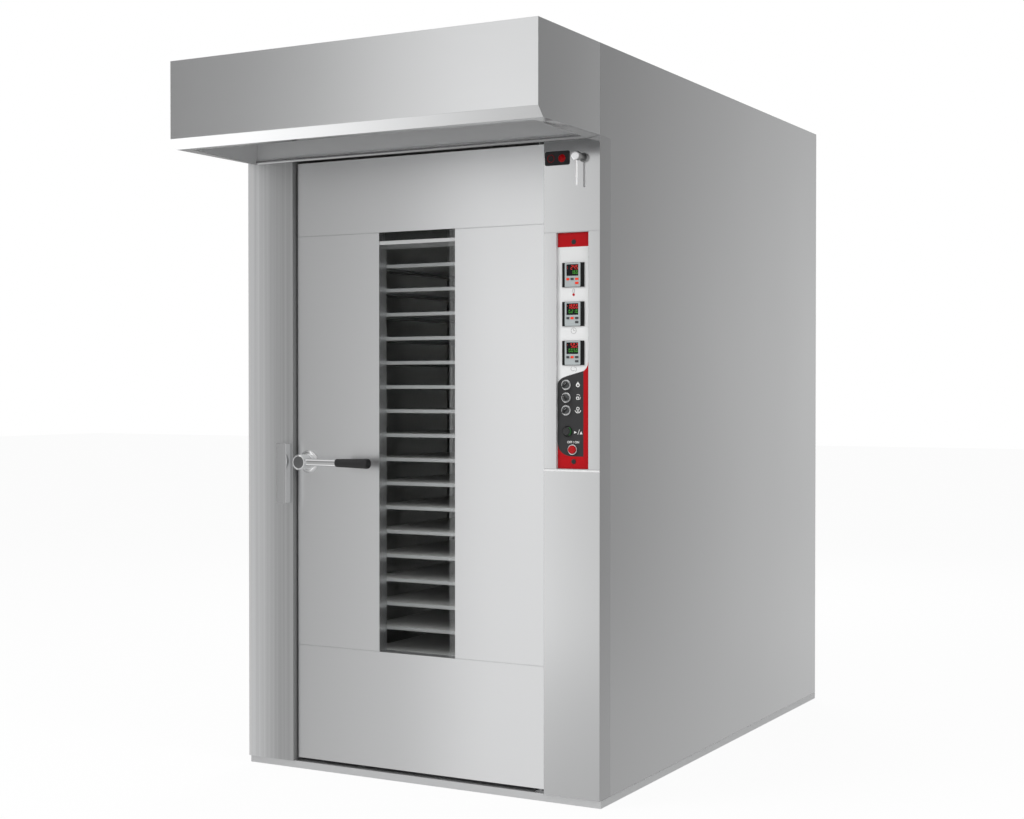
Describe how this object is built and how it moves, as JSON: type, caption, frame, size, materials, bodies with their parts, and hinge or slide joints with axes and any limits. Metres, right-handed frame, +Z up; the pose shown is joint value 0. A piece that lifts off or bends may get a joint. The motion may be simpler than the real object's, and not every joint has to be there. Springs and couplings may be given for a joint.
{
  "type": "rotating rack oven",
  "caption": "Free-standing bakery oven with a projecting hood, a pivoted windowed door with a lever handle, a control column and a tray rack that turns inside.",
  "frame": {"origin": "on the floor, under the centre of the footprint that runs from the hood's front to the cabinet's back", "axes": "+Z up, +Y from the front with the door towards the back, +X to the right of someone who faces the door"},
  "size_m": [1.315, 2.425, 2.3],
  "materials": {
    "casing_steel": "stainless steel sheet with a fine vertical brushed grain",
    "bright_steel": "bright stainless steel sheet with a fine grain",
    "chamber_steel": "stainless steel, slightly heat-tinted, with a dull grain",
    "chrome": "polished chromium plate",
    "black_plastic": "black moulded plastic with a fine texture",
    "red_plastic": "glossy red moulded plastic",
    "panel_film": "satin printed film: white, charcoal and red fields",
    "cast_casing": "cast aluminium with a fine sand texture",
    "rack_steel": "stainless steel tube with a satin grain",
    "tray_metal": "aluminium sheet dulled by baking",
    "seal_rubber": "black silicone rubber",
    "window_glass": "clear tempered glass",
    "heater_sheath": "dark heat-blued sheathed heating elements"
  },
  "bodies": {
    "cabinet": {"base_frame": "casing_steel", "left_jamb": "casing_steel", "control_column": "casing_steel", "left_side_wall": "casing_steel", "right_side_wall": "casing_steel", "chamber_ceiling": "chamber_steel", "chamber_back_wall": "chamber_steel", "air_diffuser": "chamber_steel", "rear_panel": "casing_steel", "hood": "casing_steel", "upper_pivot": "chrome", "lower_pivot": "chrome", "latch_keeper": "bright_steel", "control_panel": "panel_film", "temperature_controller": "black_plastic", "bake_timer": "black_plastic", "steam_timer": "black_plastic", "indicator_plate": "black_plastic", "gearmotor": "cast_casing", "fan_motor": "cast_casing", "heater_bank": "heater_sheath"},
    "door": {"door_casing": "casing_steel", "door_front_upper": "casing_steel", "door_front_lower": "casing_steel", "door_front_left": "casing_steel", "door_front_right": "casing_steel", "window_liner": "bright_steel", "window_glass": "window_glass", "door_gasket": "seal_rubber", "handle_rosette": "chrome"},
    "door_handle": {"handle_lever": "chrome", "handle_grip": "black_plastic"},
    "light_knob": {"light_selector": "black_plastic"},
    "steam_knob": {"steam_selector": "black_plastic"},
    "fan_knob": {"fan_selector": "black_plastic"},
    "start_cap": {"start_button": "black_plastic"},
    "power_cap": {"power_button": "red_plastic"},
    "damper": {"damper_lever": "chrome"},
    "rotor": {"drive_shaft": "chrome", "rack_top": "rack_steel", "rack_side_left": "rack_steel", "rack_side_right": "rack_steel", "rack_base": "rack_steel", "tray_01": "tray_metal", "tray_02": "tray_metal", "tray_03": "tray_metal", "tray_04": "tray_metal", "tray_05": "tray_metal", "tray_06": "tray_metal", "tray_07": "tray_metal", "tray_08": "tray_metal", "tray_09": "tray_metal", "tray_10": "tray_metal", "tray_11": "tray_metal", "tray_12": "tray_metal", "tray_13": "tray_metal", "tray_14": "tray_metal", "tray_15": "tray_metal", "tray_16": "tray_metal"},
    "fan": {"fan_wheel": "rack_steel"}
  },
  "joints": [
    {"name": "door_swing", "type": "hinge", "parent": "cabinet", "child": "door", "pos_m": [0.445, -0.7835, 1], "axis": [0, 0, 1], "range_deg": [0, 95]},
    {"name": "handle_turn", "type": "hinge", "parent": "door", "child": "door_handle", "pos_m": [-0.418, -0.83, 1.0235], "axis": [0, -1, 0], "range_deg": [0, 90]},
    {"name": "light_turn", "type": "hinge", "parent": "cabinet", "child": "light_knob", "pos_m": [0.5415, -0.8175, 1.277], "axis": [0, 1, 0], "range_deg": [-90, 0]},
    {"name": "steam_turn", "type": "hinge", "parent": "cabinet", "child": "steam_knob", "pos_m": [0.5415, -0.8175, 1.2385], "axis": [0, 1, 0], "range_deg": [0, 90]},
    {"name": "fan_turn", "type": "hinge", "parent": "cabinet", "child": "fan_knob", "pos_m": [0.5415, -0.8175, 1.2], "axis": [0, 1, 0], "range_deg": [-90, 0]},
    {"name": "start_press", "type": "slide", "parent": "cabinet", "child": "start_cap", "axis": [0, 1, 0], "range_m": [0, 0.003], "stiffness_N_per_m": 400, "springref_m": -0.002},
    {"name": "power_press", "type": "slide", "parent": "cabinet", "child": "power_cap", "axis": [0, 1, 0], "range_m": [0, 0.003], "stiffness_N_per_m": 400, "springref_m": -0.002},
    {"name": "damper_turn", "type": "hinge", "parent": "cabinet", "child": "damper", "pos_m": [0.5925, -0.8175, 1.963], "axis": [0, 1, 0], "range_deg": [0, 90]},
    {"name": "rotor_spin", "type": "hinge", "parent": "cabinet", "child": "rotor", "pos_m": [0, -0.1725, 1], "axis": [0, 0, 1], "continuous": true},
    {"name": "fan_spin", "type": "hinge", "parent": "cabinet", "child": "fan", "pos_m": [0, 0.8, 1.037], "axis": [0, 1, 0], "continuous": true}
  ]
}
